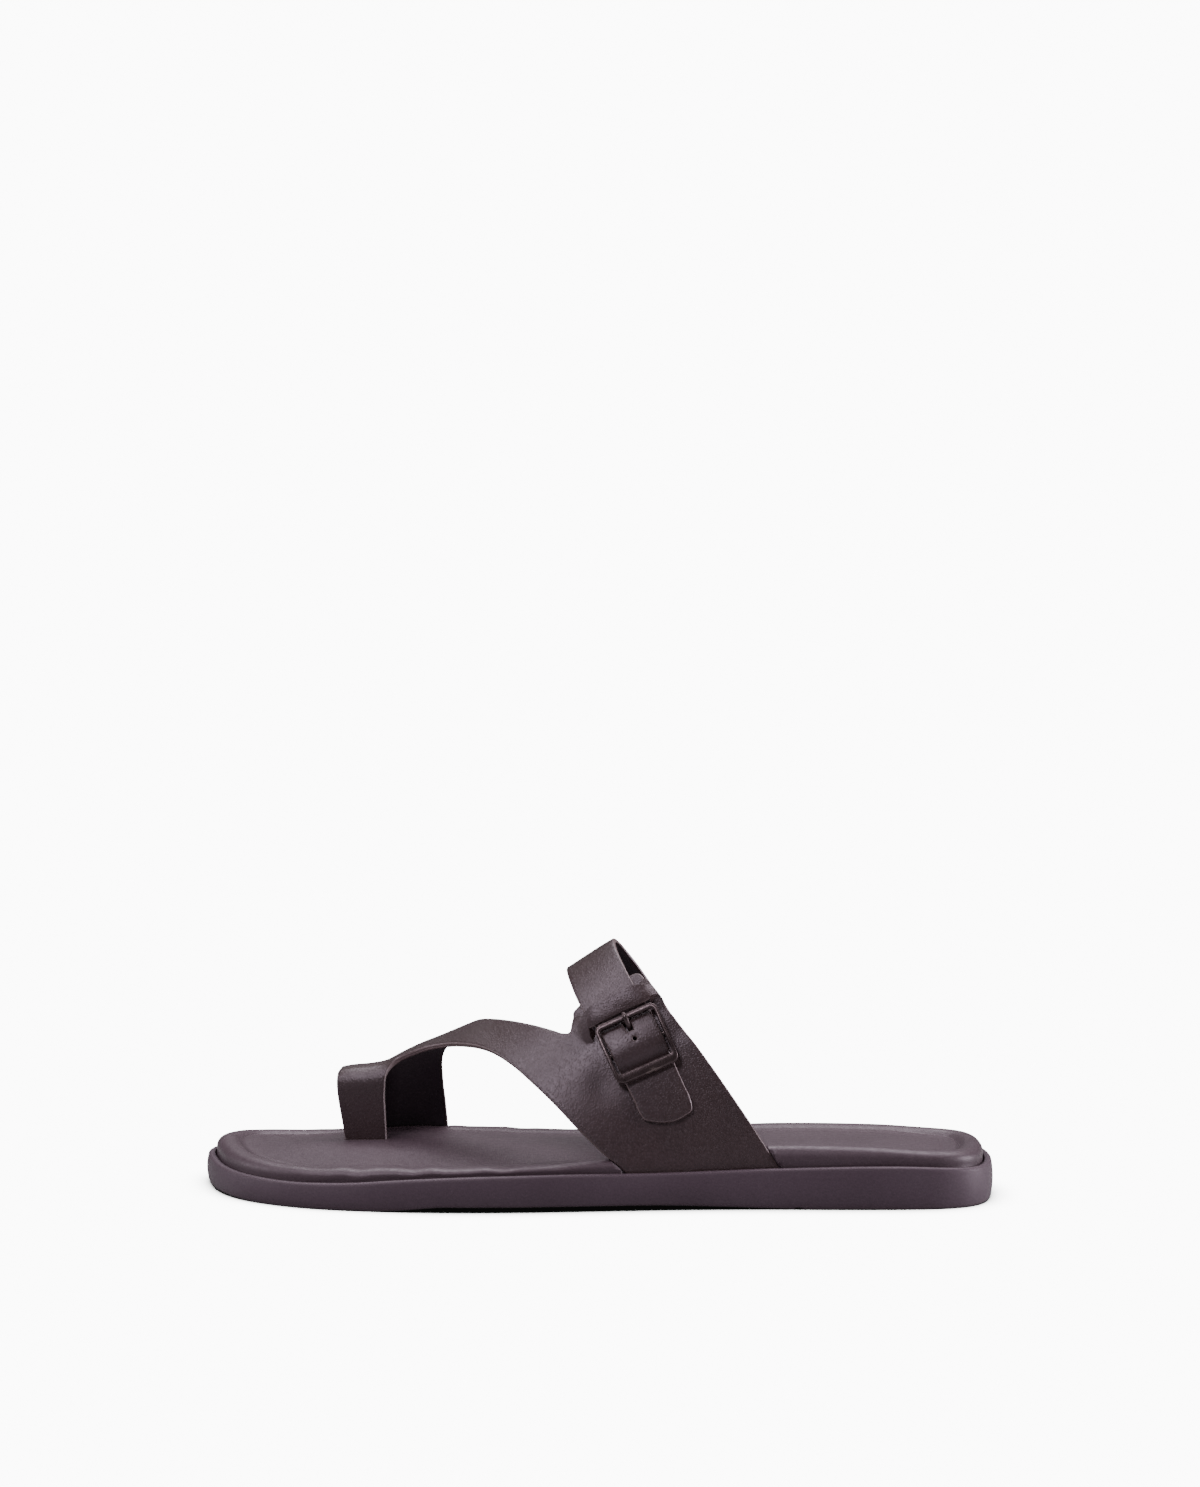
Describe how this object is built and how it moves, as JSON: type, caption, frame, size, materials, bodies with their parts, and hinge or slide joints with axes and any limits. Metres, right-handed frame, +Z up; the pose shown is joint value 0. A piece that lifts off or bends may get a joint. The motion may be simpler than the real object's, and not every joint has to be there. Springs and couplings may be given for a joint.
{
  "type": "toe-loop sandal",
  "caption": "Left smooth-leather slide sandal with a loop round the big toe, a buckled instep strap, a padded footbed and a moulded cup sole",
  "frame": {"origin": "on the floor, under the middle of the overall box", "axes": "+Z up; +X from the toe to the heel; +Y to the inner (big toe) side"},
  "size_m": [0.29, 0.106, 0.0919],
  "materials": {
    "sole_rubber": "matte dark brown moulded rubber",
    "footbed_leather": "smooth dark brown leather over foam, semi-matte",
    "upper_leather": "fine pebbled dark brown leather, soft sheen",
    "buckle_paint": "dark brown satin paint"
  },
  "bodies": {
    "root": {"sole": "sole_rubber", "footbed": "footbed_leather", "upper": "upper_leather", "instep_strap": "upper_leather", "buckle_frame": "buckle_paint", "buckle_prong": "buckle_paint"}
  },
  "joints": []
}
